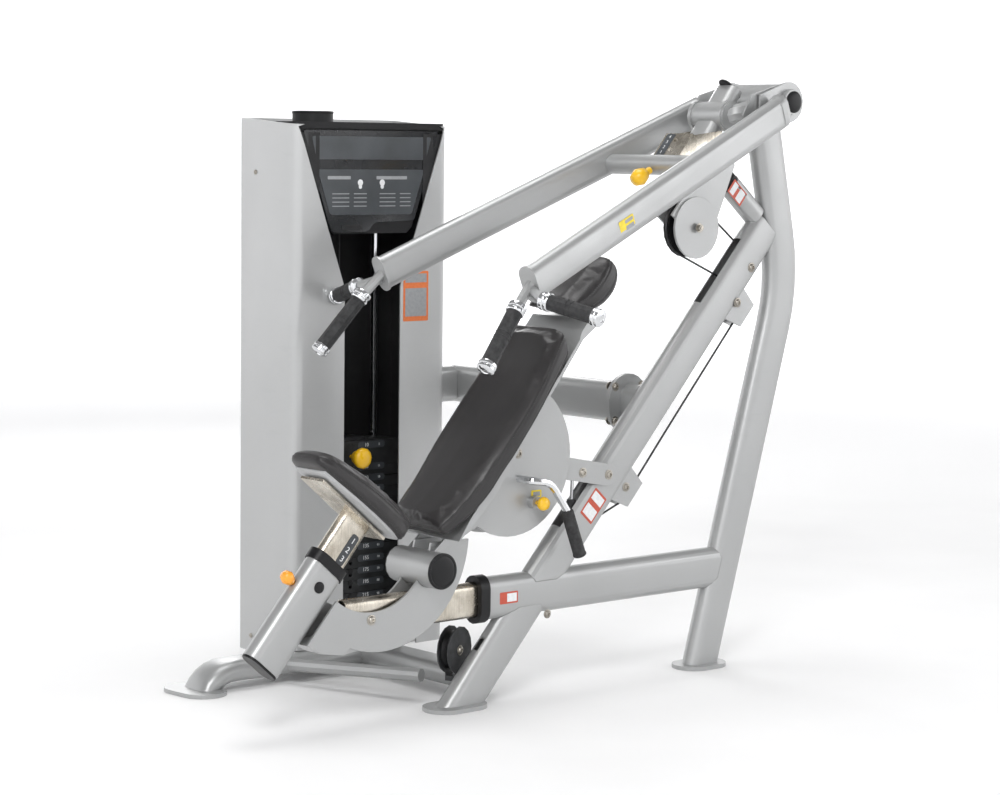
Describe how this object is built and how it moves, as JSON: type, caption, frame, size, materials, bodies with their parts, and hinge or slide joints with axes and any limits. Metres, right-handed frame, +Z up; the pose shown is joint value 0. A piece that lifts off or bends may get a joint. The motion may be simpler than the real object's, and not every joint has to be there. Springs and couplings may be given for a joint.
{
  "type": "shoulder press machine",
  "caption": "Seated chest and shoulder press: adjustable seat and back on a sliding carriage, overhead press arms, and a cable to a shrouded weight stack.",
  "frame": {"origin": "centre of the front foot's sole, on the floor", "axes": "+Z up, +X from the front foot to the rear leg, +Y from the user's seat towards the weight tower"},
  "size_m": [1.7156, 1.3173, 1.4655],
  "materials": {
    "frame_paint": "silver grey powder coat, satin",
    "shell_paint": "silver grey powder coat on sheet steel",
    "nickel": "warm nickel plate, brushed",
    "chrome": "bright chrome",
    "black_plastic": "moulded black plastic",
    "black_steel": "black powder coat",
    "weight_iron": "black painted plate",
    "cable_jacket": "black nylon jacket",
    "grip_rubber": "textured black rubber",
    "upholstery": "grained black vinyl",
    "yellow_knob": "moulded yellow plastic",
    "orange_knob": "moulded orange plastic"
  },
  "bodies": {
    "frame": {"rear_leg": "frame_paint", "seat_rail": "frame_paint", "rail_collar": "black_plastic", "spine_lower": "frame_paint", "spine_upper": "frame_paint", "cross_beam": "frame_paint", "floor_beam": "frame_paint", "left_floor_tube": "frame_paint", "right_floor_tube": "frame_paint", "stop_post": "frame_paint", "stop_bumper": "grip_rubber", "pivot_shaft": "chrome", "left_shell": "shell_paint", "right_shell": "shell_paint", "heavy_plates": "weight_iron", "light_plates": "weight_iron", "left_guide_rod": "chrome", "right_guide_rod": "chrome", "stack_base": "black_steel", "head_beam": "black_steel", "tower_cap": "black_plastic", "guide_bracket": "black_steel", "tower_cable": "cable_jacket", "spine_cable": "cable_jacket", "gas_cylinder": "black_steel"},
    "swing_frame": {"yoke": "frame_paint", "cam_lever": "frame_paint", "number_sector": "nickel", "cam_cable": "cable_jacket"},
    "press_arms": {"near_arm": "frame_paint", "far_arm": "frame_paint", "arm_cross_tube": "frame_paint", "near_low_grip": "grip_rubber", "near_wide_grip": "grip_rubber", "far_low_grip": "grip_rubber", "far_wide_grip": "grip_rubber"},
    "arm_lock": {"arm_pin": "yellow_knob"},
    "cam": {"cam_pulley": "black_plastic"},
    "weight_stack": {"head_plate": "weight_iron"},
    "selector": {"selector_pin": "yellow_knob"},
    "seat_carriage": {"slide_tube": "nickel", "carriage_bracket": "frame_paint", "seat_receiver": "frame_paint", "receiver_collar": "black_plastic"},
    "seat": {"seat_post": "nickel", "seat_pad": "upholstery"},
    "seat_lock": {"seat_pin": "orange_knob"},
    "back_rest": {"back_frame": "frame_paint", "back_pad": "upholstery", "back_shell": "frame_paint", "headrest_pad": "upholstery", "back_lever": "chrome"},
    "back_lock": {"back_pin": "yellow_knob"},
    "link": {"link_arm": "frame_paint"},
    "gas_piston": {"gas_rod": "chrome"},
    "spine_wheel_low": {"lower_spine_pulley": "black_plastic"},
    "spine_wheel_high": {"upper_spine_pulley": "black_plastic"},
    "tower_wheel_top": {"tower_top_pulley": "black_plastic"},
    "tower_wheel_foot": {"tower_foot_pulley": "black_plastic"},
    "guide_wheel": {"guide_pulley": "black_plastic"}
  },
  "joints": [
    {"name": "press_swing", "type": "hinge", "parent": "frame", "child": "swing_frame", "pos_m": [0.985, 0, 1.416], "axis": [0, 1, 0], "range_deg": [0, 34]},
    {"name": "arm_setting", "type": "hinge", "parent": "swing_frame", "child": "press_arms", "pos_m": [0.985, 0, 1.416], "axis": [0, 1, 0], "range_deg": [-7, 9]},
    {"name": "arm_pin_pull", "type": "slide", "parent": "press_arms", "child": "arm_lock", "axis": [-0.9041, 0, -0.4274], "range_m": [0, 0.02], "stiffness_N_per_m": 900},
    {"name": "cam_spin", "type": "hinge", "parent": "swing_frame", "child": "cam", "pos_m": [0.734, 0, 1.105], "axis": [0, 1, 0], "range_deg": [-4, 180]},
    {"name": "stack_lift", "type": "slide", "parent": "frame", "child": "weight_stack", "axis": [0, 0, 1], "range_m": [0, 0.41]},
    {"name": "selector_pull", "type": "slide", "parent": "weight_stack", "child": "selector", "axis": [0, -1, 0], "range_m": [0, 0.05]},
    {"name": "carriage_slide", "type": "slide", "parent": "frame", "child": "seat_carriage", "axis": [1, 0, 0], "range_m": [-0.045, 0.015]},
    {"name": "seat_height", "type": "slide", "parent": "seat_carriage", "child": "seat", "axis": [0.6561, 0, 0.7547], "range_m": [-0.075, 0.03]},
    {"name": "seat_pin_pull", "type": "slide", "parent": "seat_carriage", "child": "seat_lock", "axis": [-0.7547, 0, 0.6561], "range_m": [0, 0.018], "stiffness_N_per_m": 900},
    {"name": "back_tilt", "type": "hinge", "parent": "seat_carriage", "child": "back_rest", "pos_m": [-0.106, 0, 0.342], "axis": [0, -1, 0], "range_deg": [-9.3, 3.2]},
    {"name": "back_pin_pull", "type": "slide", "parent": "back_rest", "child": "back_lock", "axis": [0, -1, 0], "range_m": [0, 0.015], "stiffness_N_per_m": 900},
    {"name": "link_swing", "type": "hinge", "parent": "frame", "child": "link", "pos_m": [0.446, 0, 0.517], "axis": [0, 1, 0], "range_deg": [-8.2, 2.8]},
    {"name": "gas_stroke", "type": "slide", "parent": "frame", "child": "gas_piston", "axis": [0.0256, 0, 0.9997], "range_m": [-0.013, 0.013]},
    {"name": "spine_wheel_low_spin", "type": "hinge", "parent": "frame", "child": "spine_wheel_low", "pos_m": [0.52182, 0, 0.47916], "axis": [0, 1, 0], "range_deg": [-5, 500]},
    {"name": "spine_wheel_high_spin", "type": "hinge", "parent": "frame", "child": "spine_wheel_high", "pos_m": [0.89336, 0, 0.91571], "axis": [0, 1, 0], "range_deg": [-5, 500]},
    {"name": "tower_wheel_top_spin", "type": "hinge", "parent": "frame", "child": "tower_wheel_top", "pos_m": [0.126, 0.65, 1.276], "axis": [1, 0, 0], "range_deg": [-5, 500]},
    {"name": "tower_wheel_foot_spin", "type": "hinge", "parent": "frame", "child": "tower_wheel_foot", "pos_m": [0.126, 0.65, 0.092], "axis": [1, 0, 0], "range_deg": [-5, 500]},
    {"name": "guide_wheel_spin", "type": "hinge", "parent": "frame", "child": "guide_wheel", "pos_m": [0.034, 0.044, 0.128], "axis": [-0.342, 0.9397, 0], "range_deg": [-5, 500]}
  ],
  "couplings": [
    {"joint": "stack_lift", "follows": "press_swing", "m_per_rad": 0.69023},
    {"joint": "cam_spin", "follows": "press_swing", "ratio": 4.2},
    {"joint": "spine_wheel_low_spin", "follows": "press_swing", "ratio": 13.5},
    {"joint": "spine_wheel_high_spin", "follows": "press_swing", "ratio": 13.5},
    {"joint": "tower_wheel_top_spin", "follows": "press_swing", "ratio": 10.2},
    {"joint": "tower_wheel_foot_spin", "follows": "press_swing", "ratio": 10.2},
    {"joint": "guide_wheel_spin", "follows": "press_swing", "ratio": 9.5},
    {"joint": "back_tilt", "follows": "carriage_slide", "rad_per_m": 3.553},
    {"joint": "link_swing", "follows": "carriage_slide", "rad_per_m": 3.099},
    {"joint": "gas_stroke", "follows": "carriage_slide", "ratio": 0.2635}
  ]
}
